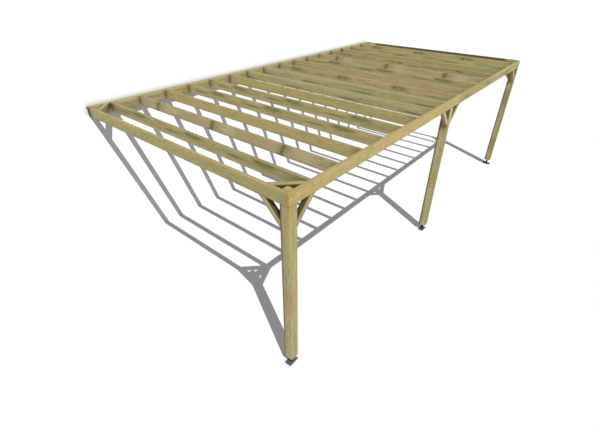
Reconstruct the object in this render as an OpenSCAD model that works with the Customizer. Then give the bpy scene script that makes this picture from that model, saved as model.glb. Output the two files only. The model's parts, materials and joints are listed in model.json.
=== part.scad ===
// Wall-mounted timber pergola: a flat open roof frame carried by a wall plate and three posts.
// X runs along the wall, +Y points into the wall and +Z is up.
// The origin is the centre of the wall plate's back face.

/* [Roof frame] */
// Length along the wall, over the side beams
frame_length = 7820; // [6000:10:9000]
// Depth from the wall to the front beam's outer face
frame_depth = 4030; // [2500:10:5000]
// Thickness of the front beam, side beams and rafters
timber_thickness = 45; // [40:1:50]
// Thickness of the wall plate
plate_thickness = 70; // [45:1:80]
// Height of the beams and rafters, which stand on edge
timber_height = 145; // [120:5:195]
// Number of rafters between the side beams
rafter_count = 16; // [4:2:18]
// Clear gap between a side beam and the first rafter
end_gap = 290; // [290:5:400]

/* [Posts] */
// Side of the square posts
post_side = 120; // [100:5:125]
// Height from the posts' bottom ends to the top of the roof frame
post_height = 2405; // [1800:5:3000]

/* [Braces] */
// Width of a brace across its slope
brace_width = 70; // [50:5:80]
// Thickness of a brace
brace_thickness = 60; // [45:5:70]
// Reach of a brace along each of the two members that it joins
brace_reach = 280; // [270:5:290]

/* [Post feet] */
// Height of a foot, from the ground to the post's bottom end
foot_height = 115; // [60:5:200]
// Length of the base plate
base_length = 160; // [130:5:200]
// Width of the base plate
base_width = 96; // [80:2:120]
// Thickness of the base plate
base_thickness = 8; // [5:1:12]
// Diameter of the stem
stem_diameter = 36; // [16:1:40]
// Side of the square plate that carries the post
seat_side = 70; // [50:5:100]
// Thickness of that plate
seat_thickness = 6; // [4:1:10]
// Distance between the anchor holes along the base plate
anchor_spacing_long = 124; // [100:2:150]
// Distance between the anchor holes across the base plate
anchor_spacing_short = 60; // [50:2:80]

/* [Bolt holes] */
// Diameter of the holes for the wall bolts
wall_hole_diameter = 12; // [8:1:16]
// Diameter of the anchor holes in the base plates
anchor_hole_diameter = 12; // [8:1:14]

/* [Hidden] */
$fn = 48;
cut_margin = 1; // what a cut runs past the face it opens
timber_colour = "#B9AB72";
shaded_colour = "#A99C66";
steel_colour = "#3F4145";

top_z = timber_height / 2;
underside_z = -timber_height / 2;
post_bottom_z = top_z - post_height;
ground_z = post_bottom_z - foot_height;
half_length = frame_length / 2;
front_y = -frame_depth;
rafter_length = frame_depth - timber_thickness - plate_thickness;
rafter_span = frame_length - 4 * timber_thickness - 2 * end_gap + timber_thickness;
rafter_pitch = rafter_span / (rafter_count - 1);
slope_width = brace_width * sqrt(2); // a brace's width, measured along the beam it is cut to
post_middle_y = front_y + post_side / 2;
post_middle_x = half_length - post_side / 2; // of the right post, and the left one mirrored

function two_digits(i) = str(i < 10 ? "0" : "", i);
function rafter_name(i) = str("rafter_", two_digits(i));
function rafter_x(i) = (i - (rafter_count + 1) / 2) * rafter_pitch;
// Wall bolts sit midway between rafters, in every second gap from the middle of the wall plate.
wall_hole_steps = [for (k = [1 : 2 : rafter_count / 2]) k];

// A timber on edge that runs along X, centred on X, with its front face at y.
module long_timber(y, thickness) {
  translate([-half_length, y, underside_z])
    cube([frame_length, thickness, timber_height]);
}

// A timber on edge that runs from the front beam to the wall plate, centred on x.
module cross_timber(x) {
  translate([x - timber_thickness / 2, front_y + timber_thickness, underside_z])
    cube([timber_thickness, rafter_length, timber_height]);
}

module wall_plate() {
  color(timber_colour)
    difference() {
      long_timber(-plate_thickness, plate_thickness);
      for (k = wall_hole_steps, side = [-1, 1])
        translate([side * k * rafter_pitch, cut_margin, 0])
          rotate([90, 0, 0])
            cylinder(d = wall_hole_diameter, h = plate_thickness + 2 * cut_margin);
    }
}

module front_beam() {
  color(timber_colour) long_timber(front_y, timber_thickness);
}

module side_beam(side) {
  color(shaded_colour) cross_timber(side * (half_length - timber_thickness / 2));
}

module rafter(i) {
  color(timber_colour) cross_timber(rafter_x(i));
}

// A square post at x, from its foot up to top.
module square_post(x, top) {
  translate([x - post_side / 2, front_y, post_bottom_z])
    cube([post_side, post_side, top - post_bottom_z]);
}

// A corner post at the end that side gives, -1 or 1. It runs up to the top of the roof frame, and
// the front beam and the side beam lie in notches in its two outer faces.
module corner_post(side) {
  x = side * post_middle_x;
  color(shaded_colour)
    difference() {
      square_post(x, top_z);
      translate([x - post_side, front_y - cut_margin, underside_z])
        cube([2 * post_side, timber_thickness + cut_margin, timber_height + cut_margin]);
      translate([x + side * post_side / 2, post_middle_y, cut_margin / 2])
        cube([2 * timber_thickness, 2 * post_side, timber_height + cut_margin], center = true);
    }
}

// The middle post ends under the front beam, which rests on it.
module middle_post() {
  color(shaded_colour) square_post(0, underside_z);
}

// The outline of a brace in the corner of two members at right angles, which meet at the origin.
module brace_outline() {
  polygon([
    [0, brace_reach],
    [0, brace_reach - slope_width],
    [brace_reach - slope_width, 0],
    [brace_reach, 0]
  ]);
}

// A knee brace under the front beam, from the post face at x towards side.
module front_knee_brace(x, side) {
  color(shaded_colour)
    translate([x, front_y + brace_thickness, underside_z])
      mirror([side < 0 ? 1 : 0, 0, 0])
        rotate([90, 0, 0])
          mirror([0, 1, 0])
            linear_extrude(height = brace_thickness) brace_outline();
}

// A knee brace under a side beam, from the corner post towards the wall.
module side_knee_brace(side) {
  color(shaded_colour)
    translate([side * (half_length - (side < 0 ? 0 : brace_thickness)), front_y + post_side, underside_z])
      rotate([90, 0, 90])
        mirror([0, 1, 0])
          linear_extrude(height = brace_thickness) brace_outline();
}

// A flat brace across a corner of the roof frame: side is -1 or 1, and row is 1 at the wall.
module corner_brace(side, row) {
  corner_y = row > 0 ? -plate_thickness : front_y + timber_thickness;
  color(timber_colour)
    translate([side * (half_length - timber_thickness), corner_y, top_z - brace_thickness])
      mirror([side > 0 ? 1 : 0, 0, 0])
        mirror([0, row > 0 ? 1 : 0, 0])
          linear_extrude(height = brace_thickness) brace_outline();
}

// A steel foot under the post at x. turned lays the long side of its base plate along Y.
module foot(x, turned) {
  color(steel_colour)
    translate([x, post_middle_y, ground_z])
      rotate([0, 0, turned ? 90 : 0]) {
        difference() {
          translate([-base_length / 2, -base_width / 2, 0])
            cube([base_length, base_width, base_thickness]);
          for (x_side = [-1, 1], y_side = [-1, 1])
            translate([x_side * anchor_spacing_long / 2, y_side * anchor_spacing_short / 2, -cut_margin])
              cylinder(d = anchor_hole_diameter, h = base_thickness + 2 * cut_margin);
        }
        cylinder(d = stem_diameter, h = foot_height);
        translate([-seat_side / 2, -seat_side / 2, foot_height - seat_thickness])
          cube([seat_side, seat_side, seat_thickness]);
      }
}

wall_plate();
front_beam();
side_beam(-1);  // side_beam_left
side_beam(1);  // side_beam_right
for (i = [1 : rafter_count])
  rafter(i);
corner_post(-1);  // post_left
middle_post();  // post_middle
corner_post(1);  // post_right
front_knee_brace(post_side - half_length, 1);  // knee_brace_left_front
side_knee_brace(-1);  // knee_brace_left_side
front_knee_brace(-post_side / 2, -1);  // knee_brace_middle_left
front_knee_brace(post_side / 2, 1);  // knee_brace_middle_right
front_knee_brace(half_length - post_side, -1);  // knee_brace_right_front
side_knee_brace(1);  // knee_brace_right_side
corner_brace(-1, -1);  // corner_brace_front_left
corner_brace(1, -1);  // corner_brace_front_right
corner_brace(-1, 1);  // corner_brace_wall_left
corner_brace(1, 1);  // corner_brace_wall_right
foot(-post_middle_x, false);  // foot_left
foot(0, false);  // foot_middle
foot(post_middle_x, true);  // foot_right
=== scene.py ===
# %% [markdown]
# # A timber pergola that hangs on a wall
#
# The real thing is a flat roof frame of planed pine boards, 145 by 45 mm, carried by a wall plate
# at the back and by three square posts at the front. All its timber is pressure-treated: copper
# salts are driven into the wood, and leave it olive-yellow with a green cast.
#
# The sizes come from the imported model, which is loaded first and never changed. Each of its parts
# is then stood for by a timber that is modelled the way a joiner would make it: planed, its long
# edges eased, mitred or housed where it meets the next one, drilled, countersunk and screwed.

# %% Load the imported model
import json
import math

import bpy
from mathutils import Matrix, Vector


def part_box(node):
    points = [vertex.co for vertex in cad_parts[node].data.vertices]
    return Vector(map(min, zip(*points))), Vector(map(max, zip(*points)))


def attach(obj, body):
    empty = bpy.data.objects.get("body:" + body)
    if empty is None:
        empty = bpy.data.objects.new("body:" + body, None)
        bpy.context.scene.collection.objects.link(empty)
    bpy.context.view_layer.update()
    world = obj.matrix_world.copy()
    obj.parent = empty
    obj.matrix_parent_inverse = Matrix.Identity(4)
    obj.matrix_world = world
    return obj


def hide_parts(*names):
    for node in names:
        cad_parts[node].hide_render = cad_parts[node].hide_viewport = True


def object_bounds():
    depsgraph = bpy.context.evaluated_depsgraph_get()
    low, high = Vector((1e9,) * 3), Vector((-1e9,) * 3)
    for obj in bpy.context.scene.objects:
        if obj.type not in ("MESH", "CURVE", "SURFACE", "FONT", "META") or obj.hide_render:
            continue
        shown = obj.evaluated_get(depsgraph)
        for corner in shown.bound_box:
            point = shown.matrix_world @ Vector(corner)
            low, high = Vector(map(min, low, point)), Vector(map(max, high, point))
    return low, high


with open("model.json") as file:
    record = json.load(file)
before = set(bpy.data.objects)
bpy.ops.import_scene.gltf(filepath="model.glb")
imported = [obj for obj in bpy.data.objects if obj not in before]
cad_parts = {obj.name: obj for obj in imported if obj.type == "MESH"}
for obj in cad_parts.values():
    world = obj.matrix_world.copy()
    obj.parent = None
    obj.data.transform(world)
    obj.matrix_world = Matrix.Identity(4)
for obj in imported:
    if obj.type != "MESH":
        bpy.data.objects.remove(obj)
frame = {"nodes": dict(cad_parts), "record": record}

CAD_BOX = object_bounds()
bpy.ops.object.select_all(action="DESELECT")
MM = 0.001
X, Y, Z = Vector((1, 0, 0)), Vector((0, 1, 0)), Vector((0, 0, 1))
GROUND = CAD_BOX[0].z
print(len(frame["nodes"]), "parts, lowest point", round(GROUND, 4), "m")

# %% [markdown]
# ## Camera
#
# The view is from above the near corner, as from a stepladder, so that every rafter shows and they
# run away to the far corner. A wide lens gives that strong perspective. An Euler angle of 90
# degrees about X looks at the horizon, so the tilt is taken off it.

# %% Camera
EYE = Vector((-6.067, -5.988, 1.771))
TURN = math.radians(40.21)  # from +X towards +Y
TILT = math.radians(33.14)  # below the horizon
bpy.ops.object.camera_add(location=EYE, rotation=(math.pi / 2 - TILT, 0, TURN - math.pi / 2))
camera = bpy.context.object
camera.data.sensor_width = 36
camera.data.lens = 22.37
bpy.context.scene.camera = camera
print("camera", camera.data.lens, "mm lens,", round((EYE - CAD_BOX[0]).length, 2), "m from the near foot")

# %% [markdown]
# ## Two helpers for materials
#
# Colours are written the way a paint chart gives them, as sRGB hex. A shader mixes light, so it
# needs linear values: one function turns the first into the second.
#
# A node tree could be wired by hand, line by line. One small function adds a node, sets what is
# given for it and links its inputs, so that each pattern below reads as a short list of steps. A
# number as a key is the place of an input, which is how maths nodes tell theirs apart.

# %% Helpers for colour and nodes
MIX_FACTOR, MIX_A, MIX_B, MIX_RESULT = 0, 6, 7, 2  # a Mix node's own places for colours


def linear(hex_colour):
    """A colour such as "#A39566" as linear red, green, blue and alpha."""
    parts = [int(hex_colour[i : i + 2], 16) / 255 for i in (1, 3, 5)]
    return [p / 12.92 if p <= 0.04045 else ((p + 0.055) / 1.055) ** 2.4 for p in parts] + [1.0]


def add_node(tree, kind, settings=None, links=None):
    """Adds a node. A setting is the node's own, or an input's value; a link is a socket or a node."""
    node = tree.nodes.new("ShaderNode" + kind)
    for name, value in (settings or {}).items():
        if isinstance(name, str) and hasattr(node, name):
            setattr(node, name, value)
        else:
            node.inputs[name].default_value = value
    for name, source in (links or {}).items():
        socket = source.outputs[0] if hasattr(source, "outputs") else source
        tree.links.new(socket, node.inputs[name])
    return node


def new_material(name):
    """A material and its node tree, which is empty."""
    material = bpy.data.materials.new(name)
    material.use_nodes = True
    material.node_tree.nodes.clear()
    return material, material.node_tree


print("mid grey is", [round(v, 3) for v in linear("#808080")[:3]])

# %% [markdown]
# ## Light, floor and backdrop
#
# The light is a plain studio's: a sun-like key from the front left, whose edge is hard enough to
# draw every rafter on the floor, and an even dome that fills the shade. Seen by the camera or in a
# reflection the dome is white, which is what Light Path's ray tests are for.
#
# The floor is white and wide. The upright backdrop stands where the house wall would be and only
# catches the shadows: nothing but the camera sees it, and from behind it is clear. It shades as if
# it leant back, so that its shadows come out nearly as dark as the floor's. Round the wall plate its
# colour is painted darker, a painted shade, where Ambient Occlusion finds the beam near. Both
# whites are a shade cool, as the wood's bounce is warm.

# %% Key light and dome
KEY_DIRECTION = Vector((0.3265, 0.632, -1.0))
KEY_LEVEL = 1.06  # 1 lights a face square to it to the colour it is written in
KEY_ANGLE = math.radians(0.25)  # how wide the lamp looks: a small one throws sharp shadows
DOME_LEVEL = 0.30

bpy.ops.object.light_add(type="SUN", rotation=KEY_DIRECTION.to_track_quat("-Z", "Y").to_euler())
key = bpy.context.object
key.data.energy = KEY_LEVEL * math.pi
key.data.angle = KEY_ANGLE

world = bpy.data.worlds.new("studio_dome")
bpy.context.scene.world = world
world.use_nodes = True
tree = world.node_tree
tree.nodes.clear()
ray = add_node(tree, "LightPath")
mirrored = add_node(
    tree, "Math", {"operation": "MAXIMUM"},
    {0: ray.outputs["Is Glossy Ray"], 1: ray.outputs["Is Transmission Ray"]},
)
seen = add_node(tree, "Math", {"operation": "MAXIMUM"}, {0: ray.outputs["Is Camera Ray"], 1: mirrored})
strength = add_node(tree, "MapRange", {"To Min": DOME_LEVEL, "To Max": 1.0}, {"Value": seen})
dome = add_node(tree, "Background", {"Color": (1, 1, 1, 1)}, {"Strength": strength})
add_node(tree, "OutputWorld", links={"Surface": dome})
print("key level", KEY_LEVEL, "dome level", DOME_LEVEL)

# %% Floor and backdrop
FLOOR_SIDE = 400.0
FLOOR_WHITE = (0.868, 0.876, 0.920, 1)  # so much of the light, that the lit floor is just white
BACKDROP_WHITE = (0.82, 0.82, 0.84, 1)
BACKDROP_SHADE = (0.28, 0.28, 0.28, 1)
BACKDROP_REACH = 0.07  # metres round the wall plate
BACKDROP_SHADED_ABOVE = -0.6  # metres, well clear of the floor
BACKDROP_HALF_LENGTH = 7.0
BACKDROP_ABOVE = 2.0
BACKDROP_LEAN = (0, -0.8, 0.6)
BACKDROP_GAP = 2 * MM  # behind the wall plate's back
AO_SAMPLES = 16

floor_paint, tree = new_material("white_studio_floor")
shade = add_node(tree, "BsdfDiffuse", {"Color": FLOOR_WHITE})
add_node(tree, "OutputMaterial", links={"Surface": shade})
bpy.ops.mesh.primitive_plane_add(size=FLOOR_SIDE, location=(0, 0, GROUND))
floor = bpy.context.object
floor.name = "studio_floor"
floor.data.materials.append(floor_paint)

backdrop_paint, tree = new_material("white_backdrop")
lean = add_node(tree, "CombineXYZ", dict(zip("XYZ", BACKDROP_LEAN)))
# Painted shade: the backdrop darkens round the wall plate.
near = add_node(tree, "AmbientOcclusion", {"samples": AO_SAMPLES, "Distance": BACKDROP_REACH})
geometry = add_node(tree, "NewGeometry")
height = add_node(tree, "SeparateXYZ", links={0: geometry.outputs["Position"]})
below = add_node(
    tree, "Math", {"operation": "LESS_THAN", 1: BACKDROP_SHADED_ABOVE}, {0: height.outputs["Z"]}
)
open_wall = add_node(tree, "Math", {"operation": "MAXIMUM"}, {0: near.outputs["AO"], 1: below})
white = add_node(
    tree, "Mix", {"data_type": "RGBA", MIX_A: BACKDROP_SHADE, MIX_B: BACKDROP_WHITE},
    {MIX_FACTOR: open_wall},
)
shade = add_node(tree, "BsdfDiffuse", None, {"Color": white.outputs[MIX_RESULT], "Normal": lean})
clear = add_node(tree, "BsdfTransparent")
mixed = add_node(tree, "MixShader", links={0: geometry.outputs["Backfacing"], 1: shade, 2: clear})
add_node(tree, "OutputMaterial", links={"Surface": mixed})

backdrop_height = CAD_BOX[1].z - GROUND + BACKDROP_ABOVE
bpy.ops.mesh.primitive_plane_add(
    size=1, location=(0, BACKDROP_GAP, GROUND + backdrop_height / 2), rotation=(math.pi / 2, 0, 0)
)
backdrop = bpy.context.object
backdrop.name = "studio_backdrop"
backdrop.scale = (2 * BACKDROP_HALF_LENGTH, backdrop_height, 1)
backdrop.data.materials.append(backdrop_paint)
backdrop.visible_diffuse = False
backdrop.visible_glossy = False
backdrop.visible_transmission = False
backdrop.visible_shadow = False
print("floor at", round(GROUND, 4), "backdrop", round(backdrop_height, 3), "m high")

# %% [markdown]
# ## How treated pine gets its figure
#
# A board shows a cut through a tree: the growth rings are long tubes round the pith, and a knot is
# the stump of a branch, a round bar that crosses them. Painting that on each face would leave the
# faces of one timber unrelated. Here the pattern is solid, as wood is. Each timber carries an
# attribute, "grain", with every point's place in its own board: along the length, across the wide
# face and through the thickness, in metres. The same pattern then gives streaks on the sides and
# arcs on the ends, whichever way the timber lies, and knots that go right through.
#
# The patterns, from large to small:
# - patches about 400 mm long, where the salts took well and the wood is greener;
# - a warm blush, where the dry heartwood took little;
# - smears: long soft stains of salts and resin, at places of their own on each kind of board;
# - dark streaks of resin and late growth, and a mottle of marks 100 mm long and 20 mm wide;
# - rings about 7 mm apart, and fibres drawn 3 mm wide, coarser than real ones, so that they show;
# - knots, drawn out along the board where it cuts them at a slant, with green-brown haloes.
#
# Branches grow in whorls, one each year, so knots and smears repeat along a board at that spacing.

# %% Noise and layers of colour
def fibre_noise(tree, grain, size, detail=2.0, wobble=0.0):
    """Soft noise from 0 to 1, drawn out along the grain to marks of that length and width."""
    length, width = size
    stretch = (1 / length, 1 / width, 1 / width)
    place = add_node(tree, "VectorMath", {"operation": "MULTIPLY", 1: stretch}, {0: grain})
    settings = {"Scale": 1.0, "Detail": detail, "Roughness": 0.55, "Distortion": wobble}
    return add_node(tree, "TexNoise", settings, {"Vector": place})


def faded(tree, value, start, end, low=0.0, high=1.0):
    """A value that goes smoothly from low at start to high at end."""
    settings = {"interpolation_type": "SMOOTHSTEP", "To Min": low, "To Max": high}
    if start > end:
        start, end = end, start
        settings.update({"To Min": high, "To Max": low})
    return add_node(tree, "MapRange", {**settings, "From Min": start, "From Max": end}, {"Value": value})


def blend_in(tree, under, hex_colour, factor, share=1.0):
    """The colour under, mixed with hex_colour by a share of factor."""
    if share != 1.0:
        factor = add_node(tree, "Math", {"operation": "MULTIPLY", 1: share}, {0: factor})
    settings = {"data_type": "RGBA", MIX_B: linear(hex_colour)}
    mix = add_node(tree, "Mix", settings, {MIX_FACTOR: factor, MIX_A: under})
    return mix.outputs[MIX_RESULT]


def add_layers(tree, colour, layers):
    """Lays colours over one another. A layer is a colour, the value that brings it in, that value
    where none of it shows and where its whole share does, and that share."""
    for hex_colour, value, none, full, share in layers:
        colour = blend_in(tree, colour, hex_colour, faded(tree, value, none, full, 0.0, share))
    return colour


print("a factor in a Mix node goes in at", MIX_FACTOR, "and the colours at", MIX_A, "and", MIX_B)

# %% Knots and smears
RAGGED = (70 * MM, 16 * MM, 16 * MM)  # how far the edges of smears and knots stray
RAGGED_EDGES = (0.16, 0.030)  # the length and width of one stray, in metres
ALL = 9.0  # metres: a half size that takes in the whole of a board
NEVER = 50.0  # metres: across and through a board, marks don't repeat


def smear(place, half_size, colour, strength, soft=0.65):
    """A long stain: its middle along, across and (if given) through the board, its half sizes, its
    colour, how much of that colour it lends, and the share of its radius over which it fades out."""
    place = (*place, 0.0)[:3]
    half_size = (*half_size, ALL)[:3]
    return {"place": place, "half_size": half_size, "colour": colour, "strength": strength, "soft": soft}


def ragged_place(tree, grain):
    """The grain places, pushed about by noise, so that no stain has a clean outline."""
    noise = fibre_noise(tree, grain, RAGGED_EDGES, detail=3.0)
    half = Vector(RAGGED) / 2
    push = add_node(
        tree, "VectorMath", {"operation": "MULTIPLY_ADD", 1: RAGGED, 2: -half},
        {0: noise.outputs["Color"]},
    )
    return add_node(tree, "VectorMath", {"operation": "ADD"}, {0: grain, 1: push})


def from_centre(tree, place, centre, whorl):
    """How far each point is from the nearest of the marks that lie a whorl apart along the board."""
    offset = add_node(tree, "VectorMath", {"operation": "SUBTRACT", 1: centre}, {0: place})
    half = Vector((whorl / 2, NEVER, NEVER))
    return add_node(tree, "VectorMath", {"operation": "WRAP", 1: half, 2: -half}, {0: offset})


def knot_distance(tree, place, knots, whorl, drawn_out):
    """How far a point is from the nearest knot's axis, in that knot's radii. A knot is (where it
    crosses the board, the way it points, its radius); drawn_out squeezes lengths along the board."""
    nearest = None
    for centre, way, radius in knots:
        offset = from_centre(tree, place, centre, whorl)
        squeeze = (1 / drawn_out, 1, 1)
        squeezed = add_node(tree, "VectorMath", {"operation": "MULTIPLY", 1: squeeze}, {0: offset})
        way = Vector(way).normalized()
        swept = add_node(tree, "VectorMath", {"operation": "CROSS_PRODUCT", 1: way}, {0: squeezed})
        distance = add_node(tree, "VectorMath", {"operation": "LENGTH"}, {0: swept}).outputs["Value"]
        radii = add_node(tree, "Math", {"operation": "DIVIDE", 1: radius}, {0: distance})
        if nearest:
            radii = add_node(tree, "Math", {"operation": "MINIMUM"}, {0: radii, 1: nearest})
        nearest = radii
    return nearest


def smear_share(tree, place, stain, whorl):
    """How strongly a smear colours a point."""
    offset = from_centre(tree, place, stain["place"], whorl)
    scaled = add_node(tree, "VectorMath", {"operation": "DIVIDE", 1: stain["half_size"]}, {0: offset})
    distance = add_node(tree, "VectorMath", {"operation": "LENGTH"}, {0: scaled}).outputs["Value"]
    return faded(tree, distance, 1.0, 1.0 - stain["soft"], 0.0, stain["strength"])


print("edges stray by", RAGGED[0] / MM / 2, "mm along the board")

# %% [markdown]
# ## One material for a kind of board
#
# The layers go on one over the other, from the wood itself to the shade that is painted into it:
# - upward faces are painted darker, which tones down how bright the key light makes them;
# - faces that look down are painted a darker brown, a painted shade;
# - the lower arrises, and the back arrises of the posts, are painted darker, a painted shade;
# - corners between timbers are painted darker where Ambient Occlusion finds other timber near.
#
# Shading the corners through the light alone left them too clean, so they are painted too. A kind
# of board differs from the others in the colours, places and shares that it hands to the layers.

# %% Painted shade
# The colours of painted shade: for upward faces, for downward faces, and for arrises, brace inner faces
# and corners.
WEATHERED, DAMP, DIRT = "#7B7350", "#6C5835", "#3C3010"
DIRT_REACH = 0.155  # metres from a corner
BOARD_DRIP = (0.0725, 0.0225, -1, 0, 0.012)  # the lower arrises of a board on edge, 145 by 45 mm
INNER_FACE = (0.140, 0.130)  # metres from a brace's corner: no shade, and all of it


def drip_arris(tree, parts, half_across, half_through, hand_across, hand_through, width):
    """How near a point is to the arrises that get painted shade. A hand is -1 or 1 for the arrises on
    that side of the board, or 0 for those on both sides."""
    near = []
    for out, half, hand in (("Y", half_across, hand_across), ("Z", half_through, hand_through)):
        settings = {"operation": "MULTIPLY", 1: hand} if hand else {"operation": "ABSOLUTE"}
        side = add_node(tree, "Math", settings, {0: parts.outputs[out]})
        near.append(faded(tree, side, half - width, half - 0.5 * width))
    return add_node(tree, "Math", {"operation": "MULTIPLY"}, {0: near[0], 1: near[1]})


def worn_by_weather(tree, colour, parts, weathering=0.5, weathered=WEATHERED, damp_share=0.5,
                    drip=BOARD_DRIP, drip_share=0.25, shaded_share=0.0, dirt_reach=DIRT_REACH):
    """The colour of the wood with shade painted into it: darker on upward and downward faces, along
    arrises, on the inner faces of braces and in corners. parts is the grain place, taken apart.
    """
    normal = add_node(tree, "NewGeometry").outputs["Normal"]
    facing = add_node(tree, "SeparateXYZ", links={0: normal}).outputs["Z"]
    sky_and_ground = [
        # Painted shade: upward faces are darkened, to tone down how bright the key light makes them.
        (weathered, facing, 0.6, 0.95, weathering),
        # Painted shade: downward faces are darkened brown.
        (DAMP, facing, -0.3, -0.6, damp_share),
    ]
    colour = add_layers(tree, colour, sky_and_ground)
    # Painted shade along the lower arrises, or down the back arrises of a post.
    colour = blend_in(tree, colour, DIRT, drip_arris(tree, parts, *drip), drip_share)
    # Painted shade on the face of a brace that looks into its corner.
    if shaded_share:
        colour = add_layers(tree, colour, [(DIRT, parts.outputs["Y"], *INNER_FACE, shaded_share)])
    # Painted shade in corners: the colour darkens where Ambient Occlusion finds other timber near.
    nook = add_node(tree, "AmbientOcclusion", {"samples": AO_SAMPLES, "Distance": dirt_reach})
    settings = {"From Min": 0.0, "From Max": 0.93, "To Min": 1.35, "To Max": 0.0}
    dirt = add_node(tree, "MapRange", settings, {"Value": nook.outputs["AO"]})
    return blend_in(tree, colour, DIRT, dirt)


# How far the painted shade in corners reaches, in metres.
print("dirt reaches", DIRT_REACH, "m out of a corner")

# %% Growth rings
RING_SPACING = 7 * MM
WANDER = 14 * MM  # how far the rings drift from straight tubes
DRIFTS = (0.9, 0.12)  # the length and width of one drift, in metres
KNOT_SWIRL = 9 * MM  # how far the rings bend round a knot


def growth_rings(tree, grain, pith, halo=None):
    """Late growth as 1 and early growth as 0, by the distance from the pith. The rings wander along
    the board, and bend round knots if their halo is given."""
    centred = add_node(tree, "VectorMath", {"operation": "SUBTRACT", 1: (0, *pith)}, {0: grain})
    flat = add_node(tree, "VectorMath", {"operation": "MULTIPLY", 1: (0, 1, 1)}, {0: centred})
    radius = add_node(tree, "VectorMath", {"operation": "LENGTH"}, {0: flat}).outputs["Value"]
    for reach, push in ((2 * WANDER, fibre_noise(tree, grain, DRIFTS)), (KNOT_SWIRL, halo)):
        if push:
            bend = {"operation": "MULTIPLY_ADD", 1: reach}
            radius = add_node(tree, "Math", bend, {0: push, 2: radius})
    turns = add_node(tree, "Math", {"operation": "MULTIPLY", 1: math.tau / RING_SPACING}, {0: radius})
    wave = add_node(tree, "Math", {"operation": "SINE"}, {0: turns})
    return add_node(tree, "MapRange", {"From Min": -0.3, "From Max": 1.0}, {"Value": wave})


print("rings every", RING_SPACING / MM, "mm")

# %% Treated pine
WHORL = 1.2  # metres from one whorl to the next
KNOT_RIM, KNOT_HEART = "#7F7B47", "#65592F"
PALE_FLECK = "#C4B98C"
BLUSHES = (0.33, 0.045)  # lengths and widths of marks, in metres
PATCHES, MARKS = (0.42, 0.060), (0.10, 0.020)
STREAKS, FIBRES = (0.70, 0.017), (0.120, 3 * MM)
FIBRE_HEIGHT = 0.4 * MM


def treated_pine(name, wood, green, warm, streak, pith, whorl=WHORL, knots=(), drawn_out=2.2,
                 knot_share=1.0, smears=(), warm_share=0.5, blush_size=BLUSHES, streak_share=0.5,
                 ring_share=0.22, mottle=0.35, **weather):
    """Planed, pressure-treated pine. pith is the tree's centre line, across and through the board."""
    material, tree = new_material(name)
    grain = add_node(tree, "Attribute", {"attribute_name": "grain"}).outputs["Vector"]
    parts = add_node(tree, "SeparateXYZ", links={0: grain})
    ragged = ragged_place(tree, grain)
    core = halo = None
    if knots:
        nearest = knot_distance(tree, ragged, knots, whorl, drawn_out)
        core = faded(tree, nearest, 1.3, 0.4)
        halo = faded(tree, nearest, 3.0, 0.6)
    rings = growth_rings(tree, grain, pith, halo)
    patches = fibre_noise(tree, grain, PATCHES)
    blush = fibre_noise(tree, grain, blush_size, wobble=0.4)
    marks = fibre_noise(tree, grain, MARKS, detail=4.0, wobble=0.3)
    tints = add_node(tree, "SeparateColor", links={0: marks.outputs["Color"]})
    streaks = fibre_noise(tree, grain, STREAKS, detail=3.0)
    fibres = fibre_noise(tree, grain, FIBRES, detail=1.0)

    # The colour of the wood, one layer over the other.
    base = add_node(tree, "RGB")
    base.outputs[0].default_value = linear(wood)
    mottling = [
        (green, patches, 0.42, 0.68, 1.0),
        (warm, blush, 0.47, 0.70, warm_share),
        (warm, tints.outputs["Green"], 0.50, 0.72, mottle),
        (green, tints.outputs["Blue"], 0.50, 0.72, mottle),
        (PALE_FLECK, marks, 0.48, 0.28, mottle),
        (streak, marks, 0.52, 0.72, 1.3 * mottle),
    ]
    colour = add_layers(tree, base, mottling)
    for stain in smears:
        colour = blend_in(tree, colour, stain["colour"], smear_share(tree, ragged, stain, whorl))
    colour = add_layers(tree, colour, [(streak, streaks, 0.50, 0.74, streak_share)])
    colour = blend_in(tree, colour, streak, rings, ring_share)
    colour = add_layers(tree, colour, [(streak, fibres, 0.55, 0.80, 0.3)])
    if knots:
        colour = blend_in(tree, colour, KNOT_RIM, halo, 0.5 * knot_share)
        colour = blend_in(tree, colour, KNOT_HEART, core, 0.8 * knot_share)
    # Painted shade goes on over the wood's own colour.
    colour = worn_by_weather(tree, colour, parts, **weather)

    # Planed wood is dull, a little smoother where the late growth is dense, and its fibres stand up.
    roughness = add_node(tree, "MapRange", {"To Min": 0.74, "To Max": 0.62}, {"Value": rings})
    relief = add_node(tree, "Math", {"operation": "ADD"}, {0: rings, 1: fibres})
    bump = add_node(tree, "Bump", {"Strength": 0.35, "Distance": FIBRE_HEIGHT}, {"Height": relief})
    shader = add_node(
        tree, "BsdfPrincipled", {"Specular IOR Level": 0.35},
        {"Base Color": colour, "Roughness": roughness, "Normal": bump},
    )
    add_node(tree, "OutputMaterial", links={"Surface": shader})
    return material


print("patches", PATCHES, "m, marks", MARKS, "m, streaks", STREAKS, "m, fibres", FIBRES, "m")

# %% [markdown]
# ## The boards of this frame
#
# A batch of boards from one yard is a mixture: some are knotty, some clear, some show pink
# heartwood and some have taken up more of the green salts. Each kind below is a cut from another
# part of the tree. Its knots and smears are given in the board's own places, in metres: along the
# board from its first whorl, across it and through it. A knot whose way lies in the wide face is a
# spike knot, sawn along its length. Near relations have the same figure in another tone.

# %% Knotty boards of the rafters
OLIVE, BROWN, PINKISH, GREENISH = "#7D7843", "#665B33", "#B89A7B", "#9C9D72"
ONCE = 9.0  # a whorl longer than any board, so that its marks come once
KINDS = {}


def board(kind, like=None, **figure):
    """Adds a kind of board. One that is like another has that one's figure, but for what is given."""
    KINDS[kind] = {**KINDS.get(like, {}), **figure}


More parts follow.
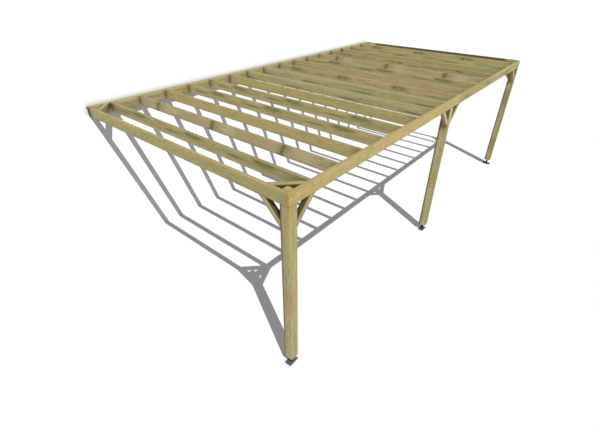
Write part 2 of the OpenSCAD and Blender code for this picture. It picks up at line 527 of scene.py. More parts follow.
board(
    "clustered", wood="#B2A774", green="#9A9A69", warm="#B3905F", streak="#7D733F",
    pith=(0.035, 0.070), whorl=1.243, warm_share=0.4, streak_share=0.6, mottle=0.5,
    knots=[
        ((-0.085, 0.052, 0), (0.1, 0.1, 1), 0.009),
        ((0.075, 0.050, 0), (-0.1, 0.0, 1), 0.013),
        ((0.00, 0.012, 0), (0.1, 0.2, 1), 0.006),
    ],
    smears=[
        smear((-0.02, 0.040), (0.28, 0.044), OLIVE, 0.95),
        smear((0.42, 0.005), (0.28, 0.018), BROWN, 0.8),
        smear((-0.393, -0.005), (0.25, 0.030), "#B38F58", 0.6),
        smear((0.0, -0.075), (ALL, 0.050), "#B0AF8C", 0.65, 0.9),
        smear((0.40, 0.075), (0.35, 0.045), "#BFB17B", 0.5, 0.9),
        smear((-0.10, -0.010), (0.45, 0.030), "#948A5B", 0.35, 0.9),
    ],
)
# The first rafter's painted shade reaches further, into its corner with the corner brace.
board("cornered", like="clustered", dirt_reach=0.28)
board(
    "spike", wood="#B3A47A", green="#A39E72", warm="#B89770", streak="#857A4B",
    pith=(0.060, 0.055), whorl=1.30, streak_share=0.45, ring_share=0.12, mottle=0.55,
    drip_share=0.45, drawn_out=1.0,
    knots=[((0.007, 0.0, -0.015), (0.40, -1, 0), 0.035)],
    smears=[
        smear((0.24, 0.0), (0.22, 0.12), PINKISH, 0.6),
        smear((0.97, 0.01), (0.20, 0.10), "#C2B58A", 0.6),
        smear((0.48, 0.01), (0.30, 0.12), "#A2966A", 0.45),
        smear((0.0, -0.080), (ALL, 0.050), "#958D5E", 0.6, 0.9),
        smear((0.06, -0.065), (0.06, 0.040), BROWN, 0.6),
        smear((-0.08, 0.03), (0.10, 0.06), "#8E8656", 0.4),
    ],
)
board(
    "smudged", wood="#B7A671", green="#9B9662", warm="#BC9766", streak="#867A46",
    pith=(0.010, 0.090), whorl=1.19, mottle=0.5, drawn_out=1.25, knot_share=0.8,
    knots=[((-0.073, 0.018, 0), (0.1, 0, 1), 0.020), ((0.065, 0.018, 0), (0, 0.1, 1), 0.029)],
    smears=[
        smear((-0.03, 0.015), (0.24, 0.065), OLIVE, 0.75),
        smear((-0.20, -0.030), (0.12, 0.030), "#8F8B52", 0.5),
        smear((0.55, -0.015), (0.22, 0.012), BROWN, 0.6),
        smear((-0.40, 0.02), (0.16, 0.050), "#B79466", 0.4),
    ],
)
print(len(KINDS), "knotty kinds")

# %% Clear boards of the rafters
board(
    "warm", wood="#B2A36B", green="#9C9A64", warm="#C09A5B", streak="#8F834A",
    pith=(-0.020, 0.080), whorl=3.94, warm_share=0.8, blush_size=(0.18, 0.045),
    streak_share=0.35, ring_share=0.15, mottle=0.6,
    smears=[
        smear((0.0, 0.0), (0.20, ALL), "#84774A", 0.55, 1.0),
        smear((0.0, -0.080), (ALL, 0.055), "#969267", 0.55, 0.9),
    ],
)
board(
    "pale", wood="#AFA471", green="#9F9F71", warm="#B38F61", streak="#7D733F",
    pith=(-0.045, 0.060), whorl=1.206, warm_share=0.4, streak_share=0.7, mottle=0.5,
    smears=[
        smear((0.0, 0.055), (ALL, 0.055), "#B9B085", 0.65, 0.9),
        smear((0.27, -0.038), (0.34, 0.015), "#5E562D", 0.85),
        smear((0.10, -0.060), (0.50, 0.022), OLIVE, 0.5),
        smear((-0.15, -0.005), (0.055, 0.070), "#B38C58", 0.35),
        smear((-0.38, 0.010), (0.14, 0.060), "#969A60", 0.6),
    ],
)
board(
    "high_pale", like="pale",
    smears=[
        smear((0.27, 0.004), (0.34, 0.016), "#5E562D", 0.85),
        smear((-0.20, 0.020), (0.20, 0.050), "#B9B182", 0.6),
        smear((0.75, 0.045), (0.18, 0.050), "#8F9358", 0.6),
    ],
)
board(
    "pink", wood="#B6A274", green="#9F966D", warm="#BD956C", streak="#8B7A4A",
    pith=(0.025, 0.045), warm_share=0.75,
)
board(
    "streaked", wood="#AD9D6D", green="#928E62", warm="#AF8862", streak="#7C6E40",
    pith=(0.025, 0.045), whorl=1.33, warm_share=0.7,
    smears=[
        smear((0.65, 0.030), (0.12, 0.030), BROWN, 0.6),
        smear((0.85, 0.036), (0.28, 0.016), BROWN, 0.7),
        smear((0.35, -0.010), (0.20, 0.030), "#9C7B58", 0.5),
    ],
)
print(len(KINDS), "kinds so far")

# %% Boards of the beams and the wall plate
board(
    "boxed", wood="#A79C69", green="#99986A", warm="#AF965C", streak="#82773F",
    pith=(0.012, -0.009), whorl=ONCE, warm_share=0.6, blush_size=(0.20, 0.040),
    streak_share=0.55, mottle=0.7, weathering=0.0,
    smears=[
        smear((0.0, 0.050), (ALL, 0.060), "#AA9757", 0.35, 0.9),
        # Painted shade: darker at the end against the wall plate.
        smear((3.98, 0.0), (0.17, ALL), "#453C20", 0.85, 0.8),
        smear((0.05, -0.01), (0.11, 0.08), "#8F9162", 0.55),
    ],
)
# The far side beam is painted dark along its top, as painted shade.
board(
    "far_beam", like="boxed", dirt_reach=0.28, weathering=0.95, weathered="#38321C",
    smears=[smear((0.0, 0.075), (ALL, 0.065), "#3B351D", 0.9, 0.5)],
)
board(
    "plate", wood="#A08F64", green="#8F8B62", warm="#A88B62", streak="#6F6439",
    pith=(-0.045, 0.060), whorl=ONCE, streak_share=0.6, mottle=0.5, weathering=0.0,
    drip=(0.0725, 0.035, -1, 0, 0.012), dirt_reach=0.06,
    smears=[
        smear((4.0, 0.012), (ALL, 0.008), "#7A6C3E", 0.55, 0.5),
        smear((4.0, 0.070), (ALL, 0.050), "#B3AC78", 0.75, 0.35),
    ],
)
board(
    "golden", wood="#B4A165", green="#A49A63", warm="#BC9557", streak="#8F7D45",
    pith=(-0.030, 0.085), whorl=ONCE, warm_share=0.7, blush_size=(0.20, 0.040),
    streak_share=0.35, ring_share=0.15, mottle=0.6, weathering=0.25, weathered="#7B7A60",
    knot_share=0.8,
    knots=[
        ((4.55, -0.025, 0), (0.2, 0.1, 1), 0.020),
        ((5.67, -0.005, 0), (0.1, 0.2, 1), 0.022),
        ((6.86, -0.020, 0), (-0.1, 0.1, 1), 0.020),
    ],
    smears=[
        smear((6.12, 0.0), (2.03, 4.0), "#8F8452", 0.62, 0.12),
        smear((4.40, -0.02), (0.35, 0.06), "#8E8250", 0.4),
        # Painted highlight: a pale line along the upper edge of the far half.
        smear((6.70, 0.060), (1.5, 0.020), "#C9BE8C", 0.35),
        smear((7.45, -0.06), (0.40, 0.05), "#CBBE8E", 0.5),
        smear((6.90, 0.008), (1.3, 0.018), "#7F7743", 0.7),
        smear((4.55, -0.015), (0.22, 0.06), OLIVE, 0.6),
        smear((5.66, 0.0), (0.28, 0.06), OLIVE, 0.6),
        smear((6.88, -0.01), (0.24, 0.06), OLIVE, 0.6),
        smear((6.20, 0.02), (0.20, 0.04), "#B28F5C", 0.5),
        smear((7.30, 0.02), (0.20, 0.04), "#B28F5C", 0.4),
    ],
)
print(len(KINDS), "kinds so far")

# %% Squares of the posts
board(
    "post", wood="#AA9E6A", green="#989668", warm="#B39459", streak="#7F733B",
    pith=(0.012, -0.009), whorl=3.0, warm_share=0.6, blush_size=(0.20, 0.040),
    # The back arrises of the posts are painted darker, as painted shade.
    streak_share=0.6, mottle=0.6, weathering=0.0, drip=(0.060, 0.060, 0, 1, 0.030), drip_share=0.62,
    smears=[
        smear((0.05, 0.0), (0.25, ALL), "#9F9F72", 0.5),
        smear((0.30, 0.0), (0.45, 0.014), BROWN, 0.5),
        smear((1.90, 0.0), (0.45, 0.014), BROWN, 0.4),
        smear((1.00, 0.0), (0.22, ALL), "#A58648", 0.4),
        smear((1.60, -0.03), (0.35, 0.030), GREENISH, 0.6),
        smear((1.30, 0.02), (0.20, 0.025), "#B59158", 0.6),
        smear((2.24, -0.050, -0.070), (0.30, 0.070, 0.080), "#B78A48", 0.6),
    ],
)
board(
    "dark_post", like="post", wood="#B2A672", green="#9E9C6F", warm="#B79961", streak="#7D713C",
    warm_share=0.5, streak_share=0.7, drip=(0.060, 0.060, 0, 1, 0.034), drip_share=0.7,
    smears=[
        smear((0.43, 0.0), (0.24, ALL), "#7A7140", 0.5),
        smear((1.57, 0.0), (0.24, ALL), "#7A7140", 0.5),
        # Painted shade: the front face is darkened all along.
        smear((0.0, -0.01, -0.075), (ALL, 0.22, 0.060), "#7F764F", 0.85),
        # Painted shadow: the top of the left face, under the beam and brace.
        smear((2.12, -0.075), (0.24, 0.050), "#7A5C39", 0.7, 0.3),
        smear((0.30, 0.0), (0.55, 0.014), BROWN, 0.6),
        smear((1.15, -0.035), (0.40, 0.018), BROWN, 0.5),
        smear((0.80, 0.03), (0.25, 0.030), GREENISH, 0.5),
    ],
)
board(
    "middle_post", like="dark_post", wood="#B4AC80", green="#A2A17A",
    smears=[
        smear((0.98, 0.0), (0.24, ALL), "#A38B49", 0.5),
        # Painted shade: the front face is darkened all along.
        smear((0.0, -0.01, -0.075), (ALL, 0.11, 0.050), "#877E50", 0.85),
        # Painted shadow: the top of the left face, under the beam and brace.
        smear((2.16, -0.075), (0.30, 0.050), "#6F5232", 0.8, 0.3),
        smear((0.30, 0.0), (0.55, 0.014), BROWN, 0.4),
        # Painted light: the top of the front face is made paler, where the sun falls on it.
        smear((2.16, 0.03, -0.075), (0.22, 0.080, 0.050), "#CDBE90", 0.9, 0.4),
    ],
)
print(len(KINDS), "kinds so far")

# %% Lengths of the braces
# Braces carry painted shade on their undersides and on the face that looks into their corner.
board(
    "brace", wood="#A79B6B", green="#989264", warm="#AC9560", streak="#7E7142",
    pith=(0.040, 0.035), warm_share=0.4, mottle=0.5, weathering=0.0,
    drip_share=0.0, damp_share=0.75, shaded_share=0.65,
)
# This one has more painted shade on its inner face.
board("damp_brace", like="brace", shaded_share=0.80)
# Painted light and shade: paler wood where the sun falls on its outer face, and more painted shade
# inside.
board(
    "side_brace", like="brace", wood="#BBAF7E", green="#ABA676", warm="#BFA872", shaded_share=0.92
)
# Painted light: a paler copy of the brace, for braces whose front faces are in the sun.
board("light_brace", like="brace", wood="#BFB27C", green="#B0AA78", warm="#C2A96E")
print(len(KINDS), "kinds so far")

# %% End grain
# End grain drinks up the most salts and dries darker and yellower, with its rings drawn sharply.
END_GRAIN = dict(
    wood="#B3A35E", green="#A69E5C", warm="#B49A54", streak="#877A3C",
    warm_share=0.5, streak_share=0.3, ring_share=0.45, smears=(), weathering=0.0, drip_share=0.0,
)
OWN_ENDS = {
    "golden": dict(wood="#AF983C", green="#A49140", warm="#B28F3A", streak="#7C6828"),
    # The wall plate's ends are painted near black, as painted shade against the wall.
    "plate": dict(wood="#2A2513", green="#262111", warm="#2C2613", streak="#1C190C"),
}

pine = {}
for kind, figure in KINDS.items():
    end_figure = {**figure, **END_GRAIN, **OWN_ENDS.get(kind, {})}
    pine[kind] = (
        treated_pine("treated_pine_" + kind, **figure),
        treated_pine("treated_pine_" + kind + "_end_grain", **end_figure),
    )
print(len(pine), "kinds of pine, each with its end grain")

# %% [markdown]
# ## Steel
#
# The post feet are welded from plate and bar, then powder-coated in anthracite: a baked plastic
# skin, even in colour, with the faint orange-peel ripple that the melting powder leaves. The open
# base plates read as mid grey. The stems, which lie in the shade of their posts, and the whole right
# foot are painted nearly black and dull: a painted shade. So there are two finishes, told apart
# by place. The screws are zinc-plated steel with a green-brown wax, as sold for outdoor timber, so
# that their heads hide in the wood.

# %% Steel finishes
HANDLED_PATCH = 30 * MM
RIPPLE_HEIGHT = 0.2 * MM


def coated_steel(name, coat, worn, roughness, ripple_size, metallic, specular):
    """A thin even finish on steel, a little paler in soft patches where it has been handled."""
    material, tree = new_material(name)
    place = add_node(tree, "TexCoord").outputs["Object"]
    ripple = add_node(tree, "TexNoise", {"Scale": 1 / ripple_size, "Detail": 2.0}, {"Vector": place})
    cloud = add_node(tree, "TexNoise", {"Scale": 1 / HANDLED_PATCH, "Detail": 3.0}, {"Vector": place})
    handled = add_node(
        tree, "MapRange", {"From Min": 0.45, "From Max": 0.75, "To Max": 0.5}, {"Value": cloud}
    )
    base = add_node(tree, "RGB")
    base.outputs[0].default_value = linear(coat)
    colour = blend_in(tree, base, worn, handled)
    gloss = add_node(
        tree, "MapRange", {"To Min": roughness - 0.08, "To Max": roughness + 0.08}, {"Value": cloud}
    )
    bump = add_node(tree, "Bump", {"Strength": 0.25, "Distance": RIPPLE_HEIGHT}, {"Height": ripple})
    shader = add_node(
        tree, "BsdfPrincipled", {"Metallic": metallic, "Specular IOR Level": specular},
        {"Base Color": colour, "Roughness": gloss, "Normal": bump},
    )
    add_node(tree, "OutputMaterial", links={"Surface": shader})
    return material


powder_coat = coated_steel("powder_coated_steel", "#505154", "#5C5D61", 0.45, 2.0 * MM, 0.0, 0.5)
# Painted shade: a near-black, dull coat for the stems under the posts and for the right foot.
grimy_coat = coated_steel("powder_coated_steel_grimed", "#0D0D0C", "#141311", 0.85, 2.0 * MM, 0.0, 0.1)
waxed_zinc = coated_steel("waxed_zinc_screw", "#8D8768", "#A39C7C", 0.40, 1.0 * MM, 0.8, 0.5)
print("steel:", ", ".join(finish.name for finish in (powder_coat, grimy_coat, waxed_zinc)))

# %% [markdown]
# ## Making one timber
#
# Sawn and planed stock has four long edges that the planer's knives ease to a radius of about
# 4 mm, and two crosscut ends that stay sharp. So a timber starts as a box of the part's own size,
# its long edges are rounded with Bevel in edit mode, and the rims of its ends are just broken.
#
# A Bevel modifier would round every edge alike. Choosing edges by their direction keeps the two
# apart, and the choice still holds if the part's size is changed.

# %% Helpers for edit mode
ALIGNED = 0.99  # two directions are the same if their dot product is more than this
SMOOTH_BELOW = math.radians(35)


def open_selected(piece, kind, test):
    """Opens edit mode on the piece with just the points, edges or faces selected that pass the test."""
    modes = {"VERT": (True, False, False), "EDGE": (False, True, False), "FACE": (False, False, True)}
    bpy.context.view_layer.objects.active = piece
    bpy.ops.object.mode_set(mode="EDIT")
    bpy.context.tool_settings.mesh_select_mode = modes[kind]
    bpy.ops.mesh.select_all(action="DESELECT")
    bpy.ops.object.mode_set(mode="OBJECT")
    mesh = piece.data
    elements = {"VERT": mesh.vertices, "EDGE": mesh.edges, "FACE": mesh.polygons}[kind]
    for element in elements:
        element.select = test(element)
    bpy.ops.object.mode_set(mode="EDIT")


def close_edit():
    bpy.ops.object.mode_set(mode="OBJECT")


def bevel(piece, kind, test, width, segments):
    """Bevels the edges that pass the test, or all the edges of the faces that do."""
    open_selected(piece, kind, test)
    bpy.ops.mesh.bevel(offset=width, segments=segments, affect="EDGES")
    close_edit()


def only(piece):
    """Makes the piece the only one selected, and the active one."""
    bpy.ops.object.select_all(action="DESELECT")
    piece.select_set(True)
    bpy.context.view_layer.objects.active = piece


def dress(piece, materials, has_second):
    """Gives the piece the first of two materials, and the second one where a face passes the test.
    The piece is shaded smooth, but for its sharp edges."""
    mesh = piece.data
    mesh.materials.clear()
    for material in materials:
        mesh.materials.append(material)
    for face in mesh.polygons:
        face.material_index = int(has_second(face))
    only(piece)
    bpy.ops.object.shade_smooth_by_angle(angle=SMOOTH_BELOW)


print("edges under", round(math.degrees(SMOOTH_BELOW)), "degrees are shaded smooth")

# %% Helpers for shapes
PAST = 30 * MM  # how far a cutter runs past what it cuts


def placed(name):
    """The new primitive, named, with its size, turn and place moved into its mesh."""
    piece = bpy.context.object
    piece.name = name
    only(piece)
    bpy.ops.object.transform_apply(location=True, rotation=True, scale=True)
    return piece


def box(name, centre, size, rotation=(0, 0, 0)):
    bpy.ops.mesh.primitive_cube_add(size=1, location=centre, scale=size, rotation=rotation)
    return placed(name)


def round_bar(name, centre, radius, length, sides=48, rotation=(0, 0, 0)):
    """A cylinder, upright unless it is turned."""
    bpy.ops.mesh.primitive_cylinder_add(
        vertices=sides, radius=radius, depth=length, location=centre, rotation=rotation
    )
    return placed(name)


def combine(piece, other, operation):
    """Applies a Boolean with the other shape to the piece, and removes the other."""
    only(piece)
    step = piece.modifiers.new("step", "BOOLEAN")
    step.operation = operation
    step.solver = "EXACT"
    step.object = other
    bpy.ops.object.modifier_apply(modifier=step.name)
    bpy.data.objects.remove(other)


def cut_away(piece, cutter):
    combine(piece, cutter, "DIFFERENCE")


def merge(piece, part):
    combine(piece, part, "UNION")


def joined(name, pieces):
    """One object of several, under a new name."""
    bpy.ops.object.select_all(action="DESELECT")
    for piece in pieces:
        piece.select_set(True)
    bpy.context.view_layer.objects.active = pieces[0]
    bpy.ops.object.join()
    whole = bpy.context.object
    whole.name = name
    return whole


print("a cutter runs", PAST / MM, "mm past what it cuts")

# %% Helpers for boards
ARRIS = 4 * MM
SAWN_RIM = 0.8 * MM


def middle(node):
    """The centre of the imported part."""
    low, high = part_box(node)
    return (low + high) / 2


def size_of(node):
    low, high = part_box(node)
    return high - low


def ease_edges(piece, along, width=ARRIS, segments=3):
    """Rounds the edges that run along the piece."""
    points = piece.data.vertices

    def runs_along(edge):
        a, b = (points[i].co for i in edge.vertices)
        return abs((b - a).normalized().dot(along)) > ALIGNED

    bevel(piece, "EDGE", runs_along, width, segments)


def break_rims(piece, along, width=SAWN_RIM, segments=1):
    """Takes off the edges of the two faces that look along the piece."""
    bevel(piece, "FACE", lambda face: abs(face.normal.dot(along)) > ALIGNED, width, segments)


def plain_board(node, along):
    """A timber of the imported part's own size, with eased edges and sawn ends."""
    piece = box(node + "_timber", middle(node), size_of(node))
    ease_edges(piece, along)
    break_rims(piece, along)
    return piece


print("arris", ARRIS / MM, "mm, sawn rim", SAWN_RIM / MM, "mm")

# %% [markdown]
# ## Laying the grain and handing a timber over
#
# Once a timber has its shape, every point is told its place in the board: that is the "grain"
# attribute that the pattern reads. The places of two boards of one kind would show the same
# figure, so each board is cut a whole number of whorls further up an endless tree. Faces that look
# along the board get the end grain.

# %% Helper for finishing a timber
WHORLS_APART = 8  # from one board of a kind to the next
END_FACE = 0.6  # a face that looks along the board by more than this shows end grain


def finish_timber(piece, node, kind, start, along, across, number):
    """Gives the timber its grain and finish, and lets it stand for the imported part. The places in
    the board count from start, and its number says which stretch of the tree it is."""
    through = along.cross(across)
    offset = number * WHORLS_APART * KINDS[kind].get("whorl", WHORL)
    places = []
    for point in piece.data.vertices:
        way = point.co - start
        places.extend((way.dot(along) + offset, way.dot(across), way.dot(through)))
    attribute = piece.data.attributes.new("grain", "FLOAT_VECTOR", "POINT")
    attribute.data.foreach_set("vector", places)
    dress(piece, pine[kind], lambda face: abs(face.normal.dot(along)) > END_FACE)
    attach(piece, "root")
    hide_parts(node)


def middle_start(node, along, first_whorl=0.0):
    """The middle of the part's lower end, moved first_whorl along it."""
    half = abs(size_of(node).dot(along)) / 2
    return middle(node) - along * (half - first_whorl)


print("each board is", WHORLS_APART, "whorls from the next")

# %% [markdown]
# ## Rafters
#
# Sixteen boards on edge run from the front beam to the wall plate. They are one and the same job,
# so a loop makes them all. Only the kind of board differs, and the place of its first whorl.

# %% Rafters
# Metres from a board's front end to its first whorl.
FIRST_WHORL = {
    "cornered": 0.615, "clustered": 0.615, "spike": 0.77, "smudged": 1.035, "high_pale": 0.996,
}
RAFTER_KINDS = [
    "cornered", "spike", "warm", "clustered", "clustered", "warm", "pale", "pale",
    "smudged", "pink", "clustered", "spike", "streaked", "boxed", "high_pale", "smudged",
]

for number, kind in enumerate(RAFTER_KINDS, start=1):
    node = f"rafter_{number:02d}"
    piece = plain_board(node, Y)
    start = middle_start(node, Y, FIRST_WHORL.get(kind, 0.0))
    finish_timber(piece, node, kind, start, Y, Z, number)
print(len(RAFTER_KINDS), "rafters")

# %% [markdown]
# ## Screws
#
# The joints are pulled up with structural screws, whose heads lie in countersinks just below the
# face of the timber. The head is a cone with a flat top and a six-lobed socket. It is modelled
# once: a cone, its top face inset for the socket, every second pair of points drawn in to make the
# lobes, and the socket pushed down. The countersink is the same cone, a little larger, cut out of
# the timber. Each screw is then a copy of the head, turned to its own way in.

# %% The screw head
HEAD_RADIUS = 6 * MM
NECK_RADIUS = 3 * MM
HEAD_DEPTH = 4 * MM
SOCKET_RADIUS = 2.9 * MM
SOCKET_DEPTH = 2 * MM
SUNK = 0.4 * MM  # how far below the timber's face the head sits
ROOM = 0.3 * MM  # what the countersink has over the head
LOBES = 6
LOBE_DEPTH = 0.8  # the radius between lobes, as a share of the socket's
HAIR = 0.1 * MM


def cone(name, narrow, wide, depth, top):
    """A cone that points down Z, with its wide top at that height."""
    bpy.ops.mesh.primitive_cone_add(
        vertices=24, radius1=narrow, radius2=wide, depth=depth, location=(0, 0, top - depth / 2)
    )
    return placed(name)


head = cone("screw_head", NECK_RADIUS, HEAD_RADIUS, HEAD_DEPTH, -SUNK)
open_selected(head, "FACE", lambda face: face.normal.z > ALIGNED)
bpy.ops.mesh.inset(thickness=HEAD_RADIUS - SOCKET_RADIUS)
close_edit()


def between_lobes(point):
    """Whether a point is on the socket's edge, and between two of its lobes."""
    on_edge = point.co.z > -SUNK - HAIR and point.co.xy.length < SOCKET_RADIUS + 3 * HAIR
    return on_edge and math.cos(LOBES * math.atan2(point.co.y, point.co.x)) < 0.3


open_selected(head, "VERT", between_lobes)
bpy.ops.transform.resize(value=(LOBE_DEPTH, LOBE_DEPTH, 1), center_override=(0, 0, -SUNK))
close_edit()
open_selected(head, "FACE", lambda face: face.normal.z > ALIGNED and face.center.xy.length < HAIR)
bpy.ops.mesh.extrude_region_move(TRANSFORM_OT_translate={"value": (0, 0, -SOCKET_DEPTH)})
close_edit()
head.data.materials.append(waxed_zinc)
sink = cone("countersink", NECK_RADIUS, HEAD_RADIUS + ROOM, HEAD_DEPTH + ROOM, HAIR / 2)


def copies(master, name, spots):
    """One mesh of copies of the master, one for each (point, outward way)."""
    made = []
    for point, way in spots:
        turn = Vector(way).to_track_quat("Z", "Y").to_matrix().to_4x4()
        copy = bpy.data.objects.new(name, master.data.copy())
        copy.data.transform(Matrix.Translation(point) @ turn)
        bpy.context.collection.objects.link(copy)
        made.append(copy)
    return joined(name, made)


def screw_down(piece, name, spots):
    """Countersinks the timber at each (point on its face, outward way) and fills in the screws."""
    cut_away(piece, copies(sink, "sinks", spots))
    screws = copies(head, name, spots)
    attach(screws, "root")


print("screw head", 2 * HEAD_RADIUS / MM, "mm across,", len(head.data.polygons), "faces")

# %% [markdown]
# ## Front beam and side beams
#
# One long board on edge ties the posts together. Two screws through it hold the end of each rafter
# and of each side beam, and two more hold it in its notch in a corner post; on the middle post it
# rests. The side beams close the frame's ends, and each is screwed into its notch in the same way.

# %% Front beam
SCREW_HEIGHT = 42 * MM  # above and below a board's middle
FROM_POST_MIDDLE = 28 * MM

joints = [middle(f"rafter_{number:02d}").x for number in range(1, len(RAFTER_KINDS) + 1)]
joints += [middle("side_beam_left").x, middle("side_beam_right").x]
joints += [middle("post_left").x + FROM_POST_MIDDLE, middle("post_right").x - FROM_POST_MIDDLE]

front_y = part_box("front_beam")[0].y
front_beam = plain_board("front_beam", X)
spots = [(Vector((x, front_y, z)), -Y) for x in joints for z in (-SCREW_HEIGHT, SCREW_HEIGHT)]
screw_down(front_beam, "front_beam_screws", spots)
finish_timber(front_beam, "front_beam", "golden", middle_start("front_beam", X), X, Z, 0)
print("front beam", round(front_beam.dimensions.x, 3), "m long,", len(spots), "screws")

# %% Side beams
for number, side, hand, kind in ((20, "left", -1, "boxed"), (21, "right", 1, "far_beam")):
    node = "side_beam_" + side
    low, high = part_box(node)
    outer_x = low.x if hand < 0 else high.x
    notch_y = (low.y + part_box("post_" + side)[1].y) / 2
    piece = plain_board(node, Y)
    spots = [(Vector((outer_x, notch_y, z)), X * hand) for z in (-SCREW_HEIGHT, SCREW_HEIGHT)]
    screw_down(piece, node + "_screws", spots)
    finish_timber(piece, node, kind, middle_start(node, Y), Y, Z, number)
    print(node, "screwed", round(notch_y - low.y, 3), "m from its end")

# %% [markdown]
# ## Wall plate
#
# The board at the back is the thickest. It is bolted to the wall, so it is drilled through between
# the rafters. The drill is a cylinder that is cut out with a Boolean, at the places and the size
# that the record gives for each pair of bolts.

# %% Wall plate
DRILL_LENGTH = 200 * MM
INTO_WALL = (math.pi / 2, 0, 0)

wall_plate = plain_board("wall_plate", X)
drills = []
for mount in frame["record"]["mounts"]:
    if mount["name"].startswith("wall_bolts"):
        apart = X * mount["dims"]["spacing_x_mm"] * MM
        for share in (-0.5, 0.5):
            place = Vector(mount["pos_m"]) + apart * share
            radius = mount["dims"]["hole_r_mm"] * MM
            drills.append(round_bar("drill", place, radius, DRILL_LENGTH, 32, INTO_WALL))
holes = len(drills)
cut_away(wall_plate, joined("drills", drills))
finish_timber(wall_plate, "wall_plate", "plate", middle_start("wall_plate", X), X, Z, 22)
print("wall plate drilled", holes, "times")

# %% [markdown]
# ## Posts
#
# A post is a square length sawn round the heart of the tree, so its end shows whole rings. The
# middle one just ends under the front beam. The top of a corner post is housed: the front beam lies
# in a notch cut from the front, and the side beam in a second one. A notch is the shape of the beam
# that fills it, so the beam's own box is the cutter, run past the post so that the cut comes out
# clean.

# %% Posts
def notch(post, node, outward):
    """Cuts the place of a beam out of the post, open above and on the outward side."""
    low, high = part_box(node)
    high = high + Z * PAST
    for axis in range(3):
        if outward[axis] < 0:
            low[axis] -= PAST
        if outward[axis] > 0:
            high[axis] += PAST
    cut_away(post, box("notch", (low + high) / 2, high - low))


POSTS = ((30, "left", -1, "post"), (31, "middle", 0, "middle_post"), (32, "right", 1, "dark_post"))
for number, side, hand, kind in POSTS:
    node = "post_" + side
    piece = plain_board(node, Z)
    if hand:
        notch(piece, "front_beam", -Y)
        notch(piece, "side_beam_" + side, X * hand - Y)
    finish_timber(piece, node, kind, middle_start(node, Z), Z, X, number)
    print(node, [round(v, 3) for v in piece.dimensions], len(piece.data.polygons), "faces")

# %% [markdown]
# ## Braces
#
# Short lengths of 70 by 60 mm stiffen every corner, upright under the beams and flat in the corners
# of the roof frame. Each is a straight length laid at 45 degrees across its corner, then mitred
# where it meets the two members. Bisect does what the saw does: it cuts along a plane, throws the
# far side away and closes the cut. The corner and the two ways along its members are enough to
# place one, so the same function makes all ten.

# %% Braces
BRACE_WIDTH = 70 * MM
SCREW_FROM_TIP = 48 * MM
SCREW_APART = 28 * MM


def brace(node, way_a, way_b, kind, number):
    """A brace between two members that leave their corner along way_a and way_b."""
    size = size_of(node)
    through = way_a.cross(way_b)
    corner = middle(node)
    for way in (way_a, way_b):
        corner -= way * abs(size.dot(way)) / 2
    reach = abs(size.dot(way_a))
    thickness = abs(size.dot(through))
    along = (way_b - way_a).normalized()
    outward = (way_a + way_b).normalized()
    to_outer_face = reach / math.sqrt(2)
    centre = corner + outward * (to_outer_face - BRACE_WIDTH / 2)
    turn = Matrix((along, outward, through)).transposed().to_euler()
    piece = box(node + "_timber", centre, (2 * reach, BRACE_WIDTH, thickness), turn)
    ease_edges(piece, along)
    for way in (way_a, way_b):
        bpy.ops.object.mode_set(mode="EDIT")
        bpy.ops.mesh.select_all(action="SELECT")
        bpy.ops.mesh.bisect(plane_co=corner, plane_no=-way, use_fill=True, clear_outer=True)
        close_edit()
    spots = []
    for end in (-1, 1):
        for apart in (-0.5, 0.5):
            point = corner + outward * to_outer_face + through * apart * SCREW_APART
            spots.append((point + along * end * (to_outer_face - SCREW_FROM_TIP), outward))
    screw_down(piece, node + "_screws", spots)
    finish_timber(piece, node, kind, corner, along, outward, number)


BRACES = (
    ("knee_brace_left_front", -Z, X, "damp_brace"),
    ("knee_brace_left_side", -Z, Y, "side_brace"),
    ("knee_brace_middle_left", -Z, -X, "light_brace"),
    ("knee_brace_middle_right", -Z, X, "brace"),
    ("knee_brace_right_front", -Z, -X, "light_brace"),
    ("knee_brace_right_side", -Z, Y, "brace"),
    ("corner_brace_front_left", X, Y, "brace"),
    ("corner_brace_front_right", -X, Y, "brace"),
    ("corner_brace_wall_left", X, -Y, "brace"),
    ("corner_brace_wall_right", -X, -Y, "brace"),
)
for number, (node, way_a, way_b, kind) in enumerate(BRACES, start=40):
    brace(node, way_a, way_b, kind, number)
print(len(BRACES), "braces, each", BRACE_WIDTH / MM, "mm wide")

# %% [markdown]
# ## Post feet
#
# A foot keeps the end grain of its post off the wet ground. It is a base plate with four anchor
# holes, a round bar and a small top plate that screws up into the post, welded together before
# they were coated. The plates are boxes whose corners are rounded by Bevel and then drilled; the
# welds are rings of small beads, made as a torus whose points swell and shrink along the run.

# %% Post feet
BASE_THICKNESS = 8 * MM
SEAT_SIDE = 70 * MM
SEAT_THICKNESS = 6 * MM
STEM_RADIUS = 18 * MM
PLATE_CORNER = 8 * MM
PLATE_RIM = 1 * MM
WELD_SIZE = 4 * MM
WELD_BEADS = 14
SLIMMEST = 0.75  # of that size, between two beads
SEAT_SCREW = 24 * MM  # from the middle of the seat, both ways


def steel_plate(name, centre, size, holes=(), hole_radius=0.0):
    """A flat plate with rounded corners, softened rims and round holes."""
    plate = box(name, centre, size)
    ease_edges(plate, Z, PLATE_CORNER, segments=5)
    break_rims(plate, Z, PLATE_RIM, segments=2)
    for hole in holes:
        cut_away(plate, round_bar("drill", hole, hole_radius, 2 * PAST))
    return plate


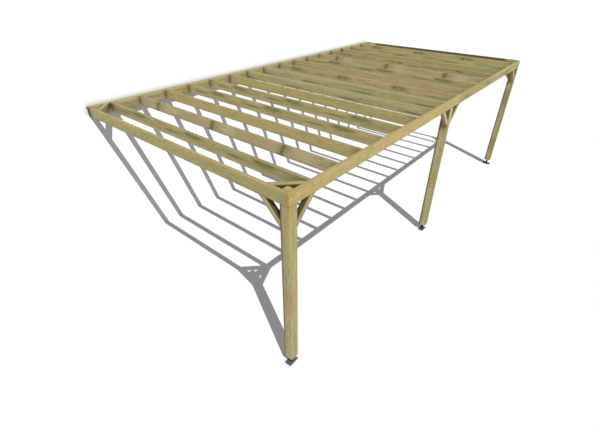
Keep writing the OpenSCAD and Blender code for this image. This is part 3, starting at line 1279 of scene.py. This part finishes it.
def weld(name, centre, radius):
    """A ring of weld beads round a bar."""
    bpy.ops.mesh.primitive_torus_add(
        location=centre, major_radius=radius, minor_radius=WELD_SIZE,
        major_segments=6 * WELD_BEADS, minor_segments=8,
    )
    ring = placed(name)
    for point in ring.data.vertices:
        way = point.co - centre
        run = math.atan2(way.y, way.x)
        bead = SLIMMEST + (1 - SLIMMEST) * abs(math.sin(WELD_BEADS * run / 2))
        middle_line = Vector((math.cos(run), math.sin(run), 0)) * radius
        point.co = centre + middle_line + (way - middle_line) * bead
    return ring


for side in ("left", "middle", "right"):
    node = "foot_" + side
    low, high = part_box(node)
    bolts = next(mount for mount in frame["record"]["mounts"] if mount["name"] == node + "_bolts")
    ground = Vector(bolts["pos_m"])
    half_x = X * bolts["dims"]["spacing_x_mm"] * MM / 2
    half_y = Y * bolts["dims"]["spacing_y_mm"] * MM / 2
    holes = [ground + half_x * a + half_y * b for a in (-1, 1) for b in (-1, 1)]
    size = Vector((high.x - low.x, high.y - low.y, BASE_THICKNESS))
    hole_radius = bolts["dims"]["hole_r_mm"] * MM
    foot = steel_plate(node + "_steel", ground + Z * BASE_THICKNESS / 2, size, holes, hole_radius)

    above_base = ground + Z * BASE_THICKNESS
    below_seat = ground + Z * (high.z - low.z - SEAT_THICKNESS)
    stem_length = (below_seat - above_base).z + 2 * WELD_SIZE
    merge(foot, round_bar("stem", (above_base + below_seat) / 2, STEM_RADIUS, stem_length))
    seat_size = Vector((SEAT_SIDE, SEAT_SIDE, SEAT_THICKNESS))
    merge(foot, steel_plate("seat", below_seat + Z * SEAT_THICKNESS / 2, seat_size))
    merge(foot, weld("lower_weld", above_base, STEM_RADIUS))
    merge(foot, weld("upper_weld", below_seat, STEM_RADIUS))

    corners = [X * a * SEAT_SCREW + Y * b * SEAT_SCREW for a in (-1, 1) for b in (-1, 1)]
    screw_down(foot, node + "_screws", [(below_seat + corner, -Z) for corner in corners])

    # The stems and the whole right foot get the painted shade.
    def splashed(face):
        return side == "right" or (face.center - above_base).z > MM

    dress(foot, (powder_coat, grimy_coat), splashed)
    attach(foot, "root")
    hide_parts(node)
    print(node, [round(v, 3) for v in foot.dimensions], len(foot.data.polygons), "faces")

# %% [markdown]
# ## Handing over
#
# The two masters that the screws were copied from are not part of the pergola, so they go.

# %% Hand over
for master in (head, sink):
    bpy.data.objects.remove(master)
bpy.context.scene.view_settings.view_transform = "Standard"
